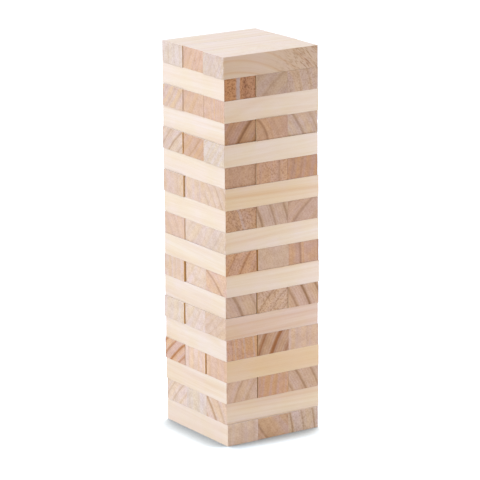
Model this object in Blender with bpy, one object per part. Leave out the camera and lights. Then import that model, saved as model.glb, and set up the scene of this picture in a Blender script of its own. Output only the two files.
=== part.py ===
"""Giant tumbling tower: eighteen courses of three loose pine blocks, each course laid across the last.

Units are metres, +Z is up, and the origin is the centre of the tower's base, at ground level.
Odd courses, counted from the ground, run front to back, along Y. Even courses run left to right, along X.
Every block is the same size. It is free to slide out along its own length, so its origin is its centre
and its local X axis is the line that it slides on.
"""

import bmesh
import bpy
from math import radians
from mathutils import Vector

# Driving dimensions. Three widths make a length, so that three blocks side by side form a square course.
BLOCK_LENGTH = 0.183
BLOCK_WIDTH = 0.0600  # a little under a third of the length, so that a course has some play
COURSE_HEIGHT = 0.036  # from the underside of one course to the underside of the next
RESTING_GAP = 0.0003  # between a block and the block that it lies on
BLOCK_THICKNESS = COURSE_HEIGHT - RESTING_GAP
EDGE_EASE = 0.0006  # the sharp edges are sanded off to this width

# Gaps between neighbours in one course.
TIGHT = 0.0003
SNUG = 0.0009
LOOSE = 0.0020
WIDE = 0.0038

MILLIMETRE = 0.001

# One row for each course, from the ground up: the first and second gap between its blocks, and how far
# each block has been pushed out along its length, in millimetres, as hands leave a stacked tower.
COURSES = (
    ((SNUG, TIGHT), (-2.0, -1.0, -0.5)),
    ((TIGHT, SNUG), (1.0, 1.0, 1.5)),
    ((LOOSE, TIGHT), (0.0, -0.5, -0.5)),
    ((WIDE, SNUG), (0.5, 0.0, -0.5)),
    ((LOOSE, TIGHT), (-0.5, -1.0, -1.0)),
    ((TIGHT, WIDE), (-1.0, -1.0, -1.5)),
    ((LOOSE, TIGHT), (1.0, 0.0, -1.5)),
    ((SNUG, WIDE), (1.0, 1.5, -0.5)),
    ((WIDE, TIGHT), (-1.0, 0.0, 0.0)),
    ((TIGHT, LOOSE), (0.5, 1.0, 0.5)),
    ((TIGHT, TIGHT), (1.0, -0.5, -0.5)),
    ((SNUG, LOOSE), (0.5, 1.5, -1.0)),
    ((TIGHT, TIGHT), (2.5, 0.5, 0.5)),
    ((SNUG, WIDE), (-2.0, -1.0, -1.0)),
    ((SNUG, TIGHT), (2.0, 0.0, 1.0)),
    ((TIGHT, TIGHT), (0.5, 0.0, -1.5)),
    ((SNUG, TIGHT), (2.0, 0.5, 0.5)),
    ((TIGHT, SNUG), (-1.0, 0.5, -1.0)),
)

# Where each block of a course is, in the order of its gaps: across an odd course, then across an even one.
PLACES_ALONG_Y = ("left", "middle", "right")
PLACES_ALONG_X = ("front", "middle", "back")

# Pine as it comes from different boards: base colour and roughness. None of it is metallic.
PINE = {
    "cream_pine": ((0.82, 0.68, 0.52), 0.55),
    "pink_pine": ((0.73, 0.56, 0.45), 0.58),
    "grey_pine": ((0.70, 0.58, 0.50), 0.60),
    "tan_pine": ((0.68, 0.50, 0.35), 0.58),
    "honey_pine": ((0.70, 0.48, 0.29), 0.56),
    "ochre_pine": ((0.50, 0.32, 0.18), 0.60),
}

# The board that each block was cut from, from the ground up, in the same order as the gaps.
BOARDS = (
    ("pink_pine", "ochre_pine", "grey_pine"),
    ("cream_pine", "grey_pine", "tan_pine"),
    ("pink_pine", "honey_pine", "tan_pine"),
    ("honey_pine", "cream_pine", "pink_pine"),
    ("ochre_pine", "pink_pine", "tan_pine"),
    ("pink_pine", "grey_pine", "grey_pine"),
    ("pink_pine", "tan_pine", "pink_pine"),
    ("cream_pine", "pink_pine", "grey_pine"),
    ("honey_pine", "pink_pine", "honey_pine"),
    ("cream_pine", "cream_pine", "tan_pine"),
    ("ochre_pine", "grey_pine", "pink_pine"),
    ("honey_pine", "cream_pine", "pink_pine"),
    ("tan_pine", "tan_pine", "honey_pine"),
    ("cream_pine", "tan_pine", "pink_pine"),
    ("ochre_pine", "tan_pine", "pink_pine"),
    ("cream_pine", "pink_pine", "pink_pine"),
    ("ochre_pine", "pink_pine", "pink_pine"),
    ("grey_pine", "honey_pine", "grey_pine"),
)


def clear_scene():
    for thing in list(bpy.data.objects):
        bpy.data.objects.remove(thing, do_unlink=True)


def make_pine(name, colour, roughness):
    material = bpy.data.materials.new(name)
    material.use_nodes = True
    shader = material.node_tree.nodes["Principled BSDF"]
    shader.inputs["Base Color"].default_value = (*colour, 1.0)
    shader.inputs["Roughness"].default_value = roughness
    shader.inputs["Metallic"].default_value = 0.0
    material.diffuse_color = (*colour, 1.0)
    return material


def make_block_mesh(name, material):
    """A sawn and sanded block, centred on its own origin, with its length along X and its edges eased."""
    mesh = bpy.data.meshes.new(name)
    block = bmesh.new()
    bmesh.ops.create_cube(block, size=1.0)
    bmesh.ops.scale(block, vec=Vector((BLOCK_LENGTH, BLOCK_WIDTH, BLOCK_THICKNESS)), verts=block.verts)
    bmesh.ops.bevel(
        block,
        geom=block.edges[:],
        offset=EDGE_EASE,
        offset_type="OFFSET",
        segments=1,
        affect="EDGES",
    )
    block.to_mesh(mesh)
    block.free()
    mesh.materials.append(material)
    return mesh


def places_across(gaps):
    """How far each of the three blocks lies from the middle of its course, with the whole course centred."""
    first_gap, second_gap = gaps
    course_width = 3 * BLOCK_WIDTH + first_gap + second_gap
    first = BLOCK_WIDTH / 2 - course_width / 2
    second = first + BLOCK_WIDTH + first_gap
    third = second + BLOCK_WIDTH + second_gap
    return first, second, third


def make_course_centre(number):
    """An empty at the middle of a course. Its X axis runs the way the course's blocks do."""
    centre = bpy.data.objects.new(f"course_{number:02d}_centre", None)
    centre.location = (0.0, 0.0, (number - 1) * COURSE_HEIGHT + BLOCK_THICKNESS / 2)
    if number % 2:
        centre.rotation_euler = (0.0, 0.0, radians(90))
    bpy.context.collection.objects.link(centre)
    return centre


def make_course(number, gaps, pushes, boards, pines):
    """One course of three blocks. Under a quarter turn, a course's local Y axis points to the tower's left."""
    centre = make_course_centre(number)
    runs_along_y = number % 2 == 1
    places = PLACES_ALONG_Y if runs_along_y else PLACES_ALONG_X
    side = -1 if runs_along_y else 1
    for place, across, push, board in zip(places, places_across(gaps), pushes, boards):
        name = f"course_{number:02d}_{place}_block"
        block = bpy.data.objects.new(name, make_block_mesh(name, pines[board]))
        block.parent = centre
        block.location = (push * MILLIMETRE, side * across, 0.0)
        bpy.context.collection.objects.link(block)


def make_tower():
    pines = {name: make_pine(name, colour, roughness) for name, (colour, roughness) in PINE.items()}
    for number, ((gaps, pushes), boards) in enumerate(zip(COURSES, BOARDS), start=1):
        make_course(number, gaps, pushes, boards, pines)


clear_scene()
make_tower()
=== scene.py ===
"""The looks of the giant tumbling tower: 54 blocks of sanded pine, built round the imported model.

Everything is in metres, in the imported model's frame: +Z is up, and the tower stands on the origin.
Each block is made again, with finely eased and slightly knocked edges, in the place of its own node. One
material serves them all. It works like a log: every block carries the place of each of its points in the
tree that it was sawn from, so that the rings on its ends run on along its sides and its top.

A block's own X axis runs along its length and its own Z axis is up. In an odd course it is turned a quarter
to the left, so that its own Y axis points left.
"""

import itertools
import math
from typing import NamedTuple

import bmesh
import bpy
import numpy as np
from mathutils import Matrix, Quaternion, Vector


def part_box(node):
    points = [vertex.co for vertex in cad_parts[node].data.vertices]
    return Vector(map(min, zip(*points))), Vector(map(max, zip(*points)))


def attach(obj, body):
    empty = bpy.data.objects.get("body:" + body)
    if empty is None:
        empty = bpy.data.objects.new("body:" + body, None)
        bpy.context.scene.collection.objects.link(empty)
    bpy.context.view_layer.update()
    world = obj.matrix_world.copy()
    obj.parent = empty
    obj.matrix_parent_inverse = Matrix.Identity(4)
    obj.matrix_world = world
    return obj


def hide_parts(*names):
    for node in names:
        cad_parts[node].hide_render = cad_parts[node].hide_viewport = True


MILLIMETRE = 0.001

# How the camera stands to the tower.
CAMERA_AZIMUTH = math.radians(-33.7)
CAMERA_ELEVATION = math.radians(14.57)
CAMERA_ROLL = math.radians(-0.31)
CAMERA_DISTANCE = 5.13
CAMERA_LENS = 233.1  # millimetres, on a sensor 36 mm wide
CAMERA_AIM = Vector((-0.0023, 0.0, 0.3163))
FARTHEST_SEEN = 100.0

# The room: an even white surround, one large soft light to the upper left that gives the form, and a weak
# upright one close by on the right, which lights the far end of the front more than the near end. Sizes are
# across and up.
WHITE = (1.0, 1.0, 1.0, 1.0)
SURROUND_STRENGTH = 1.12
LAMP_COLOUR = (0.42, 0.635, 1.0)
KEY_DIRECTION = Vector((-0.78, 0.16, 0.60)).normalized()
KEY_DISTANCE = 4.8
KEY_SIZE = (3.2, 3.2)
KEY_POWER = 396.0
FILL_PLACE = Vector((0.30, -0.28, 0.33))
FILL_SIZE = (0.2, 0.62)
FILL_POWER = 1.8

# The floor, and the painted shadow close to the tower's foot.
FLOOR_SIZE = 60.0
FLOOR_ROUGHNESS = 0.9
CONTACT_REACH = 58 * MILLIMETRE  # how far from the tower its contact shadow ends
CONTACT_LEAN = (0.8, 0.8, 1.0)  # the way the floor looks for the tower: the shadow lies to the front left
CONTACT_CLOSED = 0.22  # how open the floor still is where its shadow is darkest
CONTACT_DARK = 0.16  # how light the floor is there
CONTACT_PALE = 0.75  # from this lightness up to white, the shadow's colour fades
CONTACT_GREEN = 0.93  # how much green and blue the shadow's own colour has, beside its red
CONTACT_BLUE = 0.78
CONTACT_SAMPLES = 8

# Small gaps that the CAD has to leave, and that wood doesn't.
RESTING_GAP = 0.28 * MILLIMETRE  # closed under each block
SWELL = 0.13 * MILLIMETRE  # how far the wood fills the gap beside it, from each side

# The finish of a block's edges.
EDGE_EASE = 0.2 * MILLIMETRE
EASE_VARIATION = 0.08 * MILLIMETRE
EASE_WAVES = (90 * MILLIMETRE, 40 * MILLIMETRE, 17 * MILLIMETRE)  # the lengths of its variation's waves
KNOCKS_PER_BLOCK = 14
KNOCK_CHANCES = (0.2, 0.4, 0.4)  # how often a knocked edge is one of an end, a side and a wide face
CORNER_KNOCK_CHANCE = 0.3
KNOCK_REACH = (1.5 * MILLIMETRE, 4.0 * MILLIMETRE)
KNOCK_DEPTH = (0.1 * MILLIMETRE, 0.9 * MILLIMETRE)
FACE_TURN = 0.75  # a point is on an edge when it faces none of the six ways by more than this
LEAST_WEAR = 0.15  # how worn an edge looks without a knock
FULL_WEAR_DEPTH = 0.8 * MILLIMETRE  # how much deeper a knock makes it look fully worn

# Where lines of the mesh run: close together by the edges, at these distances from them, and even between.
EDGE_STOPS = (0.22 * MILLIMETRE, 0.5 * MILLIMETRE, 1.0 * MILLIMETRE, 2.0 * MILLIMETRE, 4.0 * MILLIMETRE)
MESH_SPACING = 5.0 * MILLIMETRE

# The saw that cut the ends, and the painted shade in the gaps: a warm brown painted on the sides that face
# a gap, strongest near the ends.
SAW_DISTANCE = 220 * MILLIMETRE  # from the middle of a block to the middle of the saw
SAW_TURN = (20.0, 65.0)  # how far round the saw stood, in degrees
GAP_SHADE_REACH = 6.0 * MILLIMETRE  # how far the painted gap shade reaches from the ends
WIDE_GAP = 3.5 * MILLIMETRE  # a gap whose sides show their painted shade in full
# the painted gap shade's colour, a dark warm brown
PAINTED_GAP_SHADE = (0.56, 0.27, 0.06, 1.0)

# Colours of planed side grain.
SIDE_COLOURS = {
    "cream": (0.500, 0.371, 0.254),
    "tan": (0.481, 0.337, 0.204),
    "honey": (0.475, 0.318, 0.178),
    "pink": (0.448, 0.299, 0.196),
    "grey": (0.426, 0.298, 0.199),
}
FACE_COLOUR = (0.589, 0.474, 0.372, 1.0)  # the wide faces, which are paler than the sides

# Sawn end grain, at full lightness: from pale and cool to warm and orange.
COOL_END = Vector((1.06, 0.83, 0.62))
WARM_END = Vector((1.06, 0.57, 0.28))
LILAC_END = Vector((1.00, 0.70, 0.54))  # the first wood of a ring, where a block shows it so

# The rings. A season is how much of its year has passed, 0 to 1.
LARGEST_RUN = 0.035  # how far a log's heart leans from a block's length, at most
SWAY = (16.0, 2.5 * MILLIMETRE)  # how uneven the rings are: waves to a metre, and how high they are
RIPPLE = (120.0, 0.5 * MILLIMETRE)
RING_PACE_ALONG = 0.12  # how fast they vary along the grain, beside across it
LINE_SEASON = 0.8  # when a ring is darkest
LINE_YEAR = 20.0 + LINE_SEASON  # the year and season of the darkest ring's line
LINE_FADE = 0.8  # how long a line takes to fade, beside the time that it takes to come on
HAZE_SEASON = 0.35  # when the wood before the line starts to darken
HAZE = 0.28  # how dark that wood gets, beside the line
FAINTEST_RING = 0.6  # how dark the faintest of a block's other rings is, beside the strongest of them
THIN_LINES = 5.0  # faint lines to a ring
THIN_LINE_COMES = (0.4, 0.85)  # where it starts and is full, on the way from one faint line to the next
THIN_LINE_GOES = (0.88, 1.0)  # where it starts to fade and is gone
THIN_LINE_STRENGTH = 0.18
EARLY_COMES = (0.0, 0.04)  # the season when the lilac first wood of a ring starts and is full
EARLY_GOES = (0.8, 1.4)  # when it starts to fade and is gone, beside the width of the ring's line

# What the dark part of a ring leaves of the colour round it, and how two parts of a ring differ.
LATE_ON_END = (0.50, 0.40, 0.24, 1.0)
RESIN_ON_END = (0.60, 0.33, 0.05, 1.0)  # where the ring is full of resin
LATE_ON_SIDE = (0.86, 0.68, 0.46, 1.0)
LILAC_TINT = (0.98, 0.95, 1.10, 1.0)
OCHRE_TINT = (1.05, 0.95, 0.76, 1.0)
BAND_PACE = 1.1  # bands of lilac and ochre to a ring
BAND_BLUR = (55.0, 0.38)  # how the wood strays from them: waves to a metre, and how strong they are
BAND_PACE_ALONG = 0.1
BAND_SEASONS = (0.0, 0.4)  # between these, each ring goes from more lilac to a little more ochre
BAND_SHIFT = (-0.22, 0.04)
BAND_SPREAD = (0.22, 0.75)  # where the lilac ends and where the ochre is full
BANDS_ON_SIDE = 0.35  # how well they show on a side
LATE_STRENGTH = 1.25  # how much more of an end's colour a dark ring takes than its block says


class Marks(NamedTuple):
    """Fine marks in the wood."""

    scale: float  # how many there are to a metre across the grain
    detail: float  # how finely broken up they are
    roughness: float  # how strong their finest parts are
    start: float  # where in their noise they begin
    full: float  # where in it they are as dark as they get
    strength: float  # how dark that is, 0 to 1
    tint: tuple  # what they leave of the colour under them
    along: float = 1.0  # how fast they vary along the grain, beside across it


# Each with its scale, detail and roughness, then its start, full and strength, and then its tint.
FIBRES = Marks(700.0, 3.0, 0.50, 0.35, 0.75, 0.20, (0.86, 0.76, 0.66, 1.0), along=0.012)
STREAKS = Marks(110.0, 3.0, 0.50, 0.30, 0.70, 0.75, (0.97, 0.91, 0.84, 1.0), along=0.03)
SPECKS = Marks(330.0, 3.0, 0.65, 0.48, 0.62, 1.00, (0.62, 0.50, 0.34, 1.0), along=0.35)
CLOUDS = Marks(85.0, 3.0, 0.50, 0.35, 0.65, 1.00, (0.92, 0.89, 0.86, 1.0), along=0.1)
CELLS = Marks(1400.0, 2.0, 0.50, 0.40, 0.80, 0.30, (0.70, 0.62, 0.55, 1.0))
FLECKS = Marks(480.0, 2.0, 0.60, 0.42, 0.72, 0.50, (0.78, 0.68, 0.56, 1.0))
MOTTLE = Marks(320.0, 3.0, 0.65, 0.48, 0.62, 1.00, (0.56, 0.45, 0.28, 1.0))
SAW_MARKS = Marks(420.0, 1.0, 0.50, 0.35, 0.65, 0.50, (0.93, 0.90, 0.88, 1.0))
WARM_PATCHES = Marks(26.0, 2.0, 0.50, 0.30, 0.70, 1.00, (1.0, 0.985, 0.93, 1.0))
BETWEEN_PATCHES = (1.01, 0.99, 1.03, 1.0)
STAIN_TINT = (0.90, 0.84, 0.74, 1.0)  # the wood round the specks
STAIN_PLACE = (-20 * MILLIMETRE, 80 * MILLIMETRE)  # along the block, where the specks begin and are full
WORN_TINT = (0.80, 0.66, 0.52, 1.0)

# How squarely a point faces along the block where end grain begins and is full, and how squarely it faces
# up or down where a side's specks begin to fade and are gone.
END_GRAIN_TURN = (0.35, 0.85)
SPECKLED_TURN = (0.2, 0.8)

# How the wood takes the light.
MATTE_SHINE = 0.25  # unfinished wood shines less than most things
SIDE_ROUGHNESS = 0.52
END_ROUGHNESS = 0.68
LATE_SMOOTHNESS = 0.08  # the hard, dark wood of a ring is this much smoother
FIBRE_SPREAD = (0.3, 0.7)  # from here to there in the fibres' noise, the roughness changes by this
FIBRE_ROUGHNESS = (-0.05, 0.06)
BUMP_DEPTH = 0.12 * MILLIMETRE
BUMP_STRENGTH = 0.6
LATE_RELIEF = 0.5  # how much of that depth the dark part of a ring stands up
FIBRE_RELIEF = 0.35
CELL_RELIEF = 0.8
SAW_RELIEF = 0.8


class Sawn:
    """How one block was cut from its log, as its front or left end shows it.

    lean: how far its rings lean from upright on that end, in degrees, to the right at the top.
    line: where the darkest ring crosses the end at half its height, in millimetres right of the middle.
    rings: from one dark ring to the next, in millimetres.
    late: how dark the darkest ring is, 0 to 1.
    shade: how light the end is.
    warmth: the colour of the end, 0 for cool and pale to 1 for orange.
    heart: from the block's middle to the log's heart, in millimetres, across the rings. More than 0 is to
    the right.
    width: how much of a ring its dark line takes.
    others: how dark the other rings are beside the darkest, 0 to 1.
    bands: how far the parts of a ring differ in colour, 0 to 1.
    mottle: how speckled the end is, 0 to 1.
    resin: how orange its rings are, 0 to 1.
    lilac: how pale and lilac the first wood of each ring is, 0 to 1.
    side: the colour of its sides.
    figure: how dark the rings are on its sides, 0 to 1.
    specks: how speckled its sides are toward their right or back end, 0 to 1.
    run: how steeply the log's heart rises along the block.
    bend: how much that steepness changes along a metre of it.
    """

    def __init__(
        self,
        lean,
        line,
        rings,
        late,
        shade,
        warmth,
        *,
        heart=-300,
        width=0.2,
        others=0.85,
        bands=0.4,
        mottle=0.15,
        resin=0.2,
        lilac=0.0,
        side="cream",
        figure=0.5,
        specks=0.0,
        run=0.0,
        bend=0.0,
    ):
        self.lean = math.radians(lean)
        self.line = line * MILLIMETRE
        self.rings = rings * MILLIMETRE
        self.late = late
        self.heart = heart * MILLIMETRE
        self.width = width
        self.others = others
        self.bands = bands
        self.mottle = mottle
        self.resin = resin
        self.lilac = lilac
        self.figure = figure
        self.specks = specks
        self.run = run
        self.bend = bend
        self.end_colour = shade * COOL_END.lerp(WARM_END, warmth)
        self.lilac_colour = shade * LILAC_END
        self.side_colour = SIDE_COLOURS[side]


# What the material reads from each block, of the above.
BLOCK_VALUES = ("rings", "late", "width", "others", "bands", "mottle", "resin", "lilac", "figure", "specks")
BLOCK_COLOURS = ("side_colour", "end_colour", "lilac_colour")

# From the ground up. Odd courses are left, middle, right, and even courses back, middle, front.
SAWN = (
    (
        Sawn(0, -26, 24, 0.15, 0.44, 0.32, bands=0.35),
        Sawn(-38, -26, 50, 0.45, 0.39, 0.60, heart=120, width=0.08, bands=0.7, mottle=0.2),
        Sawn(-9, -23, 22, 0.55, 0.42, 0.30, heart=-200, bands=0.5, mottle=0.3),
    ),
    (
        Sawn(43, 2, 17, 0.35, 0.49, 0.25, heart=260),
        Sawn(0, 5, 26, 0.10, 0.46, 0.10),
        Sawn(-35, -14, 22, 0.55, 0.47, 0.38, heart=-160, width=0.28, bands=0.5, figure=0.7),
    ),
    (
        Sawn(27, -8, 22, 0.30, 0.42, 0.53, heart=180),
        Sawn(5, 6, 15, 0.15, 0.38, 0.84, bands=1.0),
        Sawn(-29, -3, 24, 0.60, 0.39, 0.62, heart=-180),
    ),
    (
        Sawn(50, 6, 16, 0.75, 0.44, 0.66, heart=230, width=0.28, bands=0.8, side="honey", resin=0.9),
        Sawn(0, -18, 14, 0.15, 0.49, 0.41, bands=0.6),
        Sawn(-2, -20, 22, 0.12, 0.45, 0.63, side="honey"),
    ),
    (
        Sawn(-5, -18, 18, 0.20, 0.40, 0.83, bands=1.0, lilac=0.35, mottle=0.35),
        Sawn(27, 4, 25, 1.00, 0.34, 0.78, heart=180, width=0.28, bands=0.6, others=0.7, resin=1.0),
        Sawn(0, 8, 20, 0.12, 0.41, 0.55, bands=0.6),
    ),
    (
        Sawn(10, 10, 20, 0.08, 0.47, 0.18),
        Sawn(35, 6, 18, 0.15, 0.47, 0.24),
        Sawn(50, 4, 14, 0.15, 0.44, 0.45, side="pink"),
    ),
    (
        Sawn(-27, -5, 30, 0.55, 0.39, 0.54, heart=-180),
        Sawn(43, -16, 19, 0.40, 0.41, 0.62, heart=200, mottle=0.6),
        Sawn(-26, 5, 24, 0.80, 0.39, 0.69, heart=-220, width=0.22, others=1.0),
    ),
    (
        Sawn(0, -10, 14, 0.10, 0.45, 0.37, bands=0.6),
        Sawn(35, 4, 18, 0.12, 0.48, 0.31),
        Sawn(-52, -3, 36, 0.45, 0.46, 0.58, heart=-180, width=0.14, bands=0.7, figure=0.6),
    ),
    (
        Sawn(30, 6, 22, 0.50, 0.40, 0.88, heart=160, bands=0.8, mottle=0.5, resin=0.6),
        Sawn(-3, 20, 26, 0.05, 0.39, 0.58, bands=0.2),
        Sawn(-3, -6, 36, 0.50, 0.37, 0.81, width=0.12, bands=1.0),
    ),
    (
        Sawn(-30, 8, 20, 0.15, 0.44, 0.55),
        Sawn(40, 5, 20, 0.12, 0.46, 0.32),
        Sawn(40, 6, 20, 0.20, 0.45, 0.27),
    ),
    (
        Sawn(-18, -10, 36, 0.25, 0.37, 0.76, width=0.12, bands=0.8, mottle=0.7, lilac=0.4),
        Sawn(-18, -25, 25, 0.60, 0.38, 0.55, heart=-220),
        Sawn(47, -4, 28, 0.40, 0.36, 0.73, heart=200, others=0.6),
    ),
    (
        Sawn(0, 12, 18, 0.10, 0.44, 0.45, bands=0.5),
        Sawn(0, -12, 20, 0.08, 0.45, 0.36, bands=0.6),
        Sawn(-35, 12, 17.5, 0.30, 0.45, 0.39, heart=-160, side="tan", figure=0.55, run=-0.04),
    ),
    (
        Sawn(0, -20, 24, 0.12, 0.36, 0.85, bands=0.3, mottle=0.3),
        Sawn(0, 15, 22, 0.35, 0.38, 0.85, bands=0.6, others=0.3, mottle=0.5),
        Sawn(10, -2, 16, 0.25, 0.33, 0.97, bands=1.0, mottle=0.25),
    ),
    (
        Sawn(46, 5, 19, 0.50, 0.44, 0.35, heart=140),
        Sawn(45, 5, 16, 0.25, 0.40, 0.77, bands=0.6),
        Sawn(40, 3, 14, 0.15, 0.44, 0.15, figure=0.3),
    ),
    (
        Sawn(36, 7, 26, 0.80, 0.33, 0.88, heart=260, width=0.24, bands=0.9, mottle=0.2, others=0.35),
        Sawn(-24, -15, 60, 0.55, 0.37, 0.83, heart=-80, width=0.07, bands=0.6, mottle=0.2),
        Sawn(-30, -7, 26, 0.50, 0.39, 0.41, heart=-200, bands=0.7, others=1.0),
    ),
    (
        Sawn(39, -4, 18, 0.20, 0.43, 0.42, bands=0.8),
        Sawn(35, 5, 15, 0.12, 0.42, 0.70),
        Sawn(0, -6, 5, 0.25, 0.43, 0.63, bands=0.8, figure=0.25),
    ),
    (
        Sawn(
            0, 9.5, 42, 0.40, 0.34, 1.17,
            heart=300, width=0.17, bands=0.8, mottle=0.9, resin=0.6, lilac=0.95, figure=0.1,
        ),
        Sawn(50, 1, 26, 0.25, 0.34, 0.51, heart=250, bands=0.35),
        Sawn(-15, 15, 20, 0.25, 0.38, 0.47, heart=-90, bands=0.5, mottle=0.35),
    ),
    (
        Sawn(0, -12, 17, 0.12, 0.44, 0.17, bands=0.3),
        Sawn(25, 3, 14, 0.20, 0.43, 0.70, bands=0.5),
        Sawn(30, 4, 9, 0.12, 0.42, 0.24, side="grey", figure=0.5, specks=0.85, run=0.15, bend=-3.0),
    ),
)


class Graph:
    """A material's node tree, written like sums. Each call adds a node and gives its output."""

    def __init__(self, material):
        material.use_nodes = True
        self.tree = material.node_tree
        self.shader = self.tree.nodes["Principled BSDF"]

    def feed(self, socket, value):
        if isinstance(value, bpy.types.NodeSocket):
            self.tree.links.new(value, socket)
        else:
            socket.default_value = value

    def add(self, kind, inputs, output=0, **settings):
        node = self.tree.nodes.new(kind)
        for name, value in settings.items():
            setattr(node, name, value)
        for key, value in inputs.items():
            self.feed(node.inputs[key], value)
        return node.outputs[output]

    def point_value(self, name, output="Fac"):
        return self.add("ShaderNodeAttribute", {}, output, attribute_name=name)

    def block_value(self, name, output="Fac"):
        return self.add("ShaderNodeAttribute", {}, output, attribute_name=name, attribute_type="OBJECT")

    def math(self, operation, *values, clamp=False):
        inputs = dict(enumerate(values))
        return self.add("ShaderNodeMath", inputs, operation=operation, use_clamp=clamp)

    def plus(self, first, second, clamp=False):
        return self.math("ADD", first, second, clamp=clamp)

    def minus(self, first, second):
        return self.math("SUBTRACT", first, second)

    def times(self, first, second, clamp=False):
        return self.math("MULTIPLY", first, second, clamp=clamp)

    def vector(self, operation, *values, output=0):
        return self.add("ShaderNodeVectorMath", dict(enumerate(values)), output, operation=operation)

    def rise(self, value, start, end, low=0.0, high=1.0):
        """A smooth step from low to high as value goes from start to end."""
        inputs = {"Value": value, "From Min": start, "From Max": end, "To Min": low, "To Max": high}
        return self.add("ShaderNodeMapRange", inputs, interpolation_type="SMOOTHSTEP")

    def noise(self, vector, scale, detail=2.0, roughness=0.5):
        inputs = {"Vector": vector, "Scale": scale, "Detail": detail, "Roughness": roughness}
        return self.add("ShaderNodeTexNoise", inputs, "Fac")

    def waves(self, vector, scale, height):
        """Noise of plus or minus height."""
        return self.times(self.minus(self.noise(vector, scale), 0.5), 2 * height)

    def line_noise(self, value, scale=1.0, detail=1.0, roughness=0.5):
        """Noise that depends on one number only."""
        inputs = {"W": value, "Scale": scale, "Detail": detail, "Roughness": roughness}
        return self.add("ShaderNodeTexNoise", inputs, "Fac", noise_dimensions="1D")

    def mix(self, share, first, second, blend="MIX"):
        inputs = {0: share, 6: first, 7: second}
        return self.add("ShaderNodeMix", inputs, 2, data_type="RGBA", blend_type=blend)

    def tint(self, share, colour, tint):
        """The colour, with as much of it left as the tint says where share is 1."""
        return self.mix(share, colour, tint, "MULTIPLY")


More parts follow.
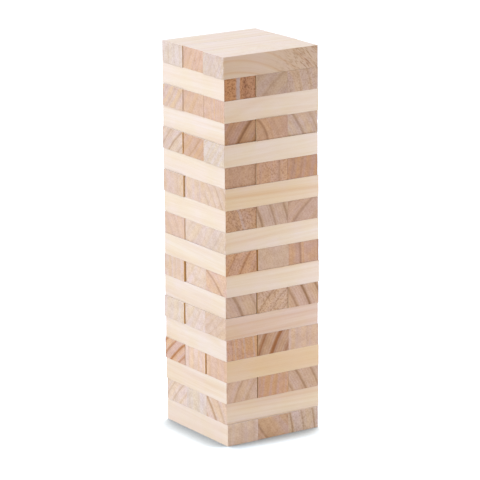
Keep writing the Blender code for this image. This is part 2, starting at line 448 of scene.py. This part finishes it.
class Wood(Graph):
    """The sanded pine's node tree, with the values that its parts share."""

    def __init__(self, material):
        super().__init__(material)
        self.seed = self.block_value("seed")
        offset = self.add("ShaderNodeCombineXYZ", {"X": 0.0, "Y": 0.0, "Z": self.seed})
        self.place = self.vector("ADD", self.point_value("log_place", "Vector"), offset)
        self.block_place = self.point_value("block_place", "Vector")
        self.wide_face = self.point_value("wide_face")
        self.end = self.rise(self.point_value("end_grain"), *END_GRAIN_TURN)
        self.width = self.block_value("width")
        self.years = self.years_grown()
        self.season = self.math("FRACT", self.years)
        self.late = self.late_wood()
        self.fibres = self.noise_of(FIBRES)
        self.cells = self.noise_of(CELLS)
        self.saw_marks = self.noise_of_saw()

    def along_grain(self, pace):
        """The place in the log, for things that vary at this pace along the grain."""
        return self.vector("MULTIPLY", self.place, (1.0, 1.0, pace))

    def noise_of(self, marks):
        return self.noise(self.along_grain(marks.along), marks.scale, marks.detail, marks.roughness)

    def noise_of_saw(self):
        """Noise in arcs about the middle of the saw that cut the block's ends."""
        saw = self.block_value("saw", "Vector")
        from_saw = self.vector("DISTANCE", self.block_place, saw, output="Value")
        return self.line_noise(from_saw, SAW_MARKS.scale, SAW_MARKS.detail, SAW_MARKS.roughness)

    def share_of(self, marks, noise=None):
        """How dark the marks are at each point. Their noise is made here, unless it is made already."""
        if noise is None:
            noise = self.noise_of(marks)
        return self.rise(noise, marks.start, marks.full, 0.0, marks.strength)

    def mark(self, colour, marks, noise=None):
        return self.tint(self.share_of(marks, noise), colour, marks.tint)

    def years_grown(self):
        """When the wood at each point grew, in years and parts of years."""
        uneven = self.along_grain(RING_PACE_ALONG)
        radius = self.vector("LENGTH", self.along_grain(0.0), output="Value")
        grown = self.plus(self.plus(radius, self.waves(uneven, *SWAY)), self.waves(uneven, *RIPPLE))
        from_line = self.minus(grown, self.block_value("line_radius"))
        return self.plus(self.math("DIVIDE", from_line, self.block_value("rings")), LINE_YEAR)

    def late_wood(self):
        """The dark part of each ring: it comes on slowly through the year and stops sharply at its end."""
        start = self.minus(LINE_SEASON, self.width)
        end = self.plus(LINE_SEASON, self.times(self.width, LINE_FADE))
        fade = self.rise(self.season, LINE_SEASON, end, 1.0, 0.0)
        line = self.times(self.rise(self.season, start, LINE_SEASON), fade)
        haze = self.times(self.rise(self.season, HAZE_SEASON, LINE_SEASON, 0.0, HAZE), fade)
        dark = self.times(self.math("MAXIMUM", line, haze), self.ring_strength())
        thin = self.math("FRACT", self.times(self.years, THIN_LINES))
        thin_fade = self.rise(thin, *THIN_LINE_GOES, 1.0, 0.0)
        thin_line = self.times(self.rise(thin, *THIN_LINE_COMES), thin_fade)
        return self.plus(dark, self.times(thin_line, THIN_LINE_STRENGTH), clamp=True)

    def ring_strength(self):
        """How dark each year's ring is: one is the darkest, and each of the others has its own luck."""
        year = self.math("FLOOR", self.years)
        own_number = {"W": self.plus(year, self.seed)}
        luck = self.add("ShaderNodeTexWhiteNoise", own_number, "Value", noise_dimensions="1D")
        other = self.times(self.rise(luck, 0.0, 1.0, FAINTEST_RING, 1.0), self.block_value("others"))
        is_darkest = self.math("COMPARE", year, math.floor(LINE_YEAR), 0.5)
        return self.math("MAXIMUM", other, is_darkest)

    def band_tint(self):
        """From lilac to ochre. It varies from ring to ring, and each ring starts out more lilac."""
        band = self.line_noise(self.plus(self.times(self.years, BAND_PACE), self.seed))
        band = self.plus(band, self.waves(self.along_grain(BAND_PACE_ALONG), *BAND_BLUR))
        band = self.plus(band, self.rise(self.season, *BAND_SEASONS, *BAND_SHIFT))
        return self.mix(self.rise(band, *BAND_SPREAD), LILAC_TINT, OCHRE_TINT)

    def early_wood(self):
        """The first wood of each ring, on the blocks that show it."""
        goes = [self.times(self.width, share) for share in EARLY_GOES]
        early = self.times(self.rise(self.season, *EARLY_COMES), self.rise(self.season, *goes, 1.0, 0.0))
        return self.times(early, self.block_value("lilac"))

    def stained(self, side):
        """A side's colour, with specks and a stain toward one end of the block, off its wide faces."""
        along = self.add("ShaderNodeSeparateXYZ", {"Vector": self.block_place}, "X")
        stain = self.times(self.rise(along, *STAIN_PLACE), self.block_value("specks"))
        stain = self.times(stain, self.rise(self.wide_face, *SPECKLED_TURN, 1.0, 0.0))
        specks = self.times(self.share_of(SPECKS), stain)
        return self.tint(stain, self.tint(specks, side, SPECKS.tint), STAIN_TINT)

    def side_grain(self, band_tint):
        """The colour of the planed sides and wide faces."""
        figure = self.block_value("figure")
        side = self.mix(self.wide_face, self.block_value("side_colour", "Vector"), FACE_COLOUR)
        side = self.tint(self.times(figure, BANDS_ON_SIDE), side, band_tint)
        side = self.tint(self.times(self.late, figure), side, LATE_ON_SIDE)
        side = self.mark(side, FIBRES, self.fibres)
        side = self.mark(side, STREAKS)
        return self.stained(side)

    def end_grain(self, band_tint):
        """The colour of the sawn ends."""
        early = self.early_wood()
        darkness = self.times(self.block_value("late"), LATE_STRENGTH)
        late_tint = self.mix(self.block_value("resin"), LATE_ON_END, RESIN_ON_END)
        sawn = self.tint(self.block_value("bands"), self.block_value("end_colour", "Vector"), band_tint)
        sawn = self.mix(early, sawn, self.block_value("lilac_colour", "Vector"))
        sawn = self.tint(self.times(self.late, darkness, clamp=True), sawn, late_tint)
        sawn = self.mark(sawn, CLOUDS)
        sawn = self.mark(sawn, CELLS, self.cells)
        sawn = self.mark(sawn, FLECKS)
        sawn = self.mark(sawn, SAW_MARKS, self.saw_marks)
        mottle = self.times(self.share_of(MOTTLE), self.block_value("mottle"))
        return self.tint(self.times(mottle, self.minus(1.0, early)), sawn, MOTTLE.tint)

    def colour(self):
        band_tint = self.band_tint()
        wood = self.mix(self.end, self.side_grain(band_tint), self.end_grain(band_tint))
        patch_tint = self.mix(self.share_of(WARM_PATCHES), BETWEEN_PATCHES, WARM_PATCHES.tint)
        wood = self.tint(1.0, wood, patch_tint)
        wood = self.tint(self.point_value("edge_wear"), wood, WORN_TINT)
        # painted shade in the gaps, on the sides across a gap near the block's ends
        return self.mix(self.point_value("painted_gap_shade"), wood, PAINTED_GAP_SHADE)

    def roughness(self):
        rough = self.rise(self.end, 0.0, 1.0, SIDE_ROUGHNESS, END_ROUGHNESS)
        rough = self.plus(rough, self.rise(self.fibres, *FIBRE_SPREAD, *FIBRE_ROUGHNESS))
        return self.minus(rough, self.times(self.late, LATE_SMOOTHNESS))

    def relief(self):
        """Hard rings and fibres that stand up a little, and on the ends the cells and the saw's marks."""
        everywhere = self.plus(self.times(self.late, LATE_RELIEF), self.times(self.fibres, FIBRE_RELIEF))
        on_ends = self.plus(self.times(self.cells, CELL_RELIEF), self.times(self.saw_marks, SAW_RELIEF))
        height = self.plus(everywhere, self.times(on_ends, self.end))
        inputs = {"Height": height, "Strength": BUMP_STRENGTH, "Distance": BUMP_DEPTH}
        return self.add("ShaderNodeBump", inputs)


def make_sanded_pine():
    material = bpy.data.materials.new("sanded_pine")
    wood = Wood(material)
    wood.feed(wood.shader.inputs["Base Color"], wood.colour())
    wood.feed(wood.shader.inputs["Roughness"], wood.roughness())
    wood.feed(wood.shader.inputs["Normal"], wood.relief())
    wood.shader.inputs["Specular IOR Level"].default_value = MATTE_SHINE
    return material


def mesh_stops(half):
    """Where lines of the mesh cross one axis of a block."""
    near = [half - stop for stop in EDGE_STOPS]
    inner = near.pop()
    count = max(2, round(2 * inner / MESH_SPACING))
    even = list(np.linspace(-inner, inner, count + 1))
    return even + near + [-stop for stop in near]


def make_blank(size):
    """A plain block of the given size, cut into faces small enough to carry the shape of worn edges."""
    blank = bmesh.new()
    bmesh.ops.create_cube(blank, size=1.0)
    bmesh.ops.scale(blank, vec=size, verts=blank.verts)
    for axis in range(3):
        normal = Vector((0.0, 0.0, 0.0))
        normal[axis] = 1.0
        for stop in mesh_stops(size[axis] / 2):
            everything = blank.verts[:] + blank.edges[:] + blank.faces[:]
            bmesh.ops.bisect_plane(blank, geom=everything, plane_co=normal * stop, plane_no=normal)
    mesh = bpy.data.meshes.new("blank")
    blank.to_mesh(mesh)
    blank.free()
    return mesh


def mesh_points(mesh):
    """The mesh's points, one to a row."""
    points = np.empty(len(mesh.vertices) * 3, dtype=np.float32)
    mesh.vertices.foreach_get("co", points)
    return points.reshape(-1, 3).astype(float)


def knocks_on(points, half, chance):
    """How much deeper the easing is at each point, from small knocks along a block's edges and corners."""
    corners = [half * signs for signs in itertools.product((-1, 1), repeat=3)]
    centres = [corner for corner in corners if chance.random() < CORNER_KNOCK_CHANCE]
    for _ in range(KNOCKS_PER_BLOCK):
        centre = chance.uniform(-half, half)
        sides = chance.choice(3, size=2, replace=False, p=KNOCK_CHANCES)
        centre[sides] = np.sign(centre[sides]) * half[sides]
        centres.append(centre)
    depth = np.zeros(len(points))
    for centre in centres:
        away = np.linalg.norm(points - centre, axis=1) / chance.uniform(*KNOCK_REACH)
        depth += chance.uniform(*KNOCK_DEPTH) * np.exp(-(away**2))
    return depth


def slow_waves(points, chance):
    """A smooth, uneven value of about -1 to 1 over a block."""
    value = np.zeros(len(points))
    for wavelength in EASE_WAVES:
        direction = chance.normal(size=3)
        direction *= 2 * math.pi / (wavelength * np.linalg.norm(direction))
        value += np.sin(points @ direction + chance.uniform(0.0, 2 * math.pi)) / 2
    return value


def ease_edges(points, half, chance):
    """Rounds a blank's edges off unevenly. Gives the new points, how each faces, and how worn it is."""
    radius = EDGE_EASE + EASE_VARIATION * slow_waves(points, chance)
    knocks = knocks_on(points, half, chance)
    radius = np.maximum(radius, EDGE_EASE / 3) + knocks
    core = np.clip(points, -(half - radius[:, None]), half - radius[:, None])
    out = points - core
    facing = out / np.linalg.norm(out, axis=1)[:, None]
    on_face = np.clip((np.abs(facing).max(axis=1) - FACE_TURN) / (1.0 - FACE_TURN), 0.0, 1.0)
    wear = (1.0 - on_face) * np.clip(LEAST_WEAR + knocks / FULL_WEAR_DEPTH, 0.0, 1.0)
    return core + facing * radius[:, None], facing, wear


def swell(points, half, gaps):
    """Moves each side that faces a gap out into it."""
    for side, _ in gaps:
        beside = side * points[:, 1] > 0.0
        points[beside, 1] *= 1.0 + SWELL / half[1]


def painted_gap_shade_on(points, facing, half, gaps):
    """How much painted shade each point takes in the gaps: only the sides across a gap, and most at their
    ends.
    """
    from_end = half[0] - np.abs(points[:, 0])
    inner = np.zeros(len(points))
    for side, gap in gaps:
        inner = np.maximum(inner, min(gap / WIDE_GAP, 1.0) * side * facing[:, 1])
    return inner * np.exp(-from_end / GAP_SHADE_REACH)


def place_in_log(points, sawn, chance):
    """Each point's place in the log: across it, up it, and along its heart."""
    across = -points[:, 1] - sawn.heart * math.cos(sawn.lean)
    up = points[:, 2] + sawn.heart * math.sin(sawn.lean)
    run = chance.uniform(-LARGEST_RUN, LARGEST_RUN, size=2) + (0.0, sawn.run)
    from_end = points[:, 0] - points[:, 0].min()
    rise = (run[1] + sawn.bend * from_end) * from_end
    return np.stack((across - run[0] * from_end, up - rise, points[:, 0]), axis=1)


def line_radius(sawn):
    """From the log's heart to the darkest ring."""
    across = sawn.line - sawn.heart * math.cos(sawn.lean)
    up = sawn.heart * math.sin(sawn.lean)
    return math.hypot(across, up)


def saw_place(chance):
    """Where the middle of the saw was, beside a block's middle."""
    turn = math.radians(chance.uniform(*SAW_TURN))
    return (0.0, SAW_DISTANCE * math.cos(turn), -SAW_DISTANCE * math.sin(turn))


def store(mesh, name, kind, field, values):
    """Keeps a value for each point of a mesh, for the material to read."""
    layer = mesh.attributes.new(name, kind, "POINT")
    layer.data.foreach_set(field, np.ascontiguousarray(values, dtype=np.float32).ravel())


def shape_block(mesh, half, sawn, gaps, chance):
    """Gives a blank its worn edges, and tells the material what it has to know about each point."""
    points, facing, wear = ease_edges(mesh_points(mesh), half, chance)
    swell(points, half, gaps)
    mesh.vertices.foreach_set("co", points.astype(np.float32).ravel())
    store(mesh, "log_place", "FLOAT_VECTOR", "vector", place_in_log(points, sawn, chance))
    store(mesh, "block_place", "FLOAT_VECTOR", "vector", points)
    store(mesh, "end_grain", "FLOAT", "value", np.abs(facing[:, 0]))
    store(mesh, "wide_face", "FLOAT", "value", np.abs(facing[:, 2]))
    store(mesh, "edge_wear", "FLOAT", "value", wear)
    # how much painted gap shade each point takes
    store(mesh, "painted_gap_shade", "FLOAT", "value", painted_gap_shade_on(points, facing, half, gaps))
    mesh.shade_smooth()
    mesh.update()


def make_block(node, number, sawn, gaps, blank, material):
    """One block of wood, in the place of its CAD node, with gaps at the given ends of its own Y axis."""
    low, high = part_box(node)
    low.z = max(low.z - RESTING_GAP, 0.0)
    size = high - low
    runs_along_y = size.y > size.x
    half = np.array((max(size.x, size.y), min(size.x, size.y), size.z)) / 2
    chance = np.random.default_rng(number)

    mesh = blank.copy()
    mesh.name = node
    mesh.materials.append(material)
    shape_block(mesh, half, sawn, gaps, chance)

    block = bpy.data.objects.new(node + "_wood", mesh)
    block.location = (low + high) / 2
    if runs_along_y:
        block.rotation_euler = (0.0, 0.0, math.radians(90))
    for name in BLOCK_VALUES:
        block[name] = getattr(sawn, name)
    for name in BLOCK_COLOURS:
        block[name] = list(getattr(sawn, name))
    block["line_radius"] = line_radius(sawn)
    block["seed"] = float(number)
    block["saw"] = saw_place(chance)
    bpy.context.collection.objects.link(block)
    return block


def block_names():
    """The nodes, course by course from the ground up."""
    for number in range(1, len(SAWN) + 1):
        places = ("left", "middle", "right") if number % 2 else ("back", "middle", "front")
        yield [f"course_{number:02d}_{place}_block" for place in places]


def gap_between(node, neighbour):
    """How far apart the boxes of two nodes are."""
    low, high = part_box(node)
    next_low, next_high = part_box(neighbour)
    return max(*(next_low - high), *(low - next_high))


def gaps_in_course(nodes):
    """For each block of a course, which end of its own Y axis each gap is at and how wide the gap is."""
    first = gap_between(nodes[0], nodes[1])
    second = gap_between(nodes[1], nodes[2])
    return ((-1, first),), ((1, first), (-1, second)), ((1, second),)


def make_tower():
    """Every block, made from one blank, in the place of its node and on that node's body."""
    material = make_sanded_pine()
    low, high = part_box("course_02_front_block")
    blank = make_blank(high - low + Vector((0.0, 0.0, RESTING_GAP)))
    numbers = itertools.count(1)
    for nodes, course in zip(block_names(), SAWN):
        for node, sawn, gaps in zip(nodes, course, gaps_in_course(nodes)):
            block = make_block(node, next(numbers), sawn, gaps, blank, material)
            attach(block, node)
            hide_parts(node)
    bpy.data.meshes.remove(blank)


def make_floor_with_painted_shadow():
    """White, with a painted shadow: for camera rays only, its colour is darker and a little warm where the
    tower stands close by.
    """
    material = bpy.data.materials.new("floor_white")
    graph = Graph(material)
    lean = graph.vector("NORMALIZE", CONTACT_LEAN)
    inputs = {"Distance": CONTACT_REACH, "Normal": lean}
    openness = graph.add("ShaderNodeAmbientOcclusion", inputs, "AO", samples=CONTACT_SAMPLES)
    # painted shadow: how much the floor's colour is darkened near the tower, for camera rays only
    shadow = graph.minus(graph.rise(openness, CONTACT_CLOSED, 1.0, CONTACT_DARK, 1.0), 1.0)
    seen = graph.add("ShaderNodeLightPath", {}, "Is Camera Ray")
    light = graph.plus(graph.times(shadow, seen), 1.0)
    green = graph.times(light, graph.rise(light, CONTACT_PALE, 1.0, CONTACT_GREEN, 1.0))
    blue = graph.times(light, graph.rise(light, CONTACT_PALE, 1.0, CONTACT_BLUE, 1.0))
    colour = graph.add("ShaderNodeCombineColor", {"Red": light, "Green": green, "Blue": blue})
    graph.feed(graph.shader.inputs["Base Color"], colour)
    graph.shader.inputs["Roughness"].default_value = FLOOR_ROUGHNESS
    return material


def make_floor():
    mesh = bpy.data.meshes.new("floor")
    half = FLOOR_SIZE / 2
    corners = [(-half, -half, 0.0), (half, -half, 0.0), (half, half, 0.0), (-half, half, 0.0)]
    mesh.from_pydata(corners, [], [(0, 1, 2, 3)])
    mesh.materials.append(make_floor_with_painted_shadow())
    floor = bpy.data.objects.new("floor", mesh)
    bpy.context.collection.objects.link(floor)


def make_surround():
    """White light from all round, and colours shown as they are."""
    world = bpy.data.worlds.new("surround")
    world.use_nodes = True
    background = world.node_tree.nodes["Background"]
    background.inputs["Color"].default_value = WHITE
    background.inputs["Strength"].default_value = SURROUND_STRENGTH
    bpy.context.scene.world = world
    bpy.context.scene.view_settings.view_transform = "Standard"


def make_lamp(name, size, power, place, direction):
    """A soft rectangular light at a place, shining in a direction."""
    light = bpy.data.lights.new(name, "AREA")
    light.shape = "RECTANGLE"
    light.size, light.size_y = size
    light.energy = power
    light.color = LAMP_COLOUR
    lamp = bpy.data.objects.new(name, light)
    lamp.location = place
    lamp.rotation_euler = direction.to_track_quat("-Z", "Y").to_euler()
    bpy.context.collection.objects.link(lamp)
    return lamp


def make_lights():
    make_lamp("key", KEY_SIZE, KEY_POWER, CAMERA_AIM + KEY_DIRECTION * KEY_DISTANCE, -KEY_DIRECTION)
    inward = Vector((-FILL_PLACE.x, -FILL_PLACE.y, 0.0))
    fill = make_lamp("fill", FILL_SIZE, FILL_POWER, FILL_PLACE, inward)
    fill.visible_camera = False  # it stands within the view


def make_camera():
    lens = bpy.data.cameras.new("camera")
    lens.lens = CAMERA_LENS
    lens.clip_end = FARTHEST_SEEN
    camera = bpy.data.objects.new("camera", lens)
    level = math.cos(CAMERA_ELEVATION)
    back = Vector(
        (math.sin(CAMERA_AZIMUTH) * level, -math.cos(CAMERA_AZIMUTH) * level, math.sin(CAMERA_ELEVATION))
    )
    camera.location = CAMERA_AIM + back * CAMERA_DISTANCE
    camera.rotation_mode = "QUATERNION"
    camera.rotation_quaternion = (-back).to_track_quat("-Z", "Y") @ Quaternion((0, 0, 1), CAMERA_ROLL)
    bpy.context.collection.objects.link(camera)
    bpy.context.scene.camera = camera


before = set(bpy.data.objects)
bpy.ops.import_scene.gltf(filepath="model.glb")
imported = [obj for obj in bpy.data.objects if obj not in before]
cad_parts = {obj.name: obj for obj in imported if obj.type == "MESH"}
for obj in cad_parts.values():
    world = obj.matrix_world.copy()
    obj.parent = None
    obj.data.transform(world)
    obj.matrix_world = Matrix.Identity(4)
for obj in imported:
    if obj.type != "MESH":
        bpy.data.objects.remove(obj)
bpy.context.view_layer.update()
make_surround()
make_lights()
make_camera()
make_floor()
make_tower()
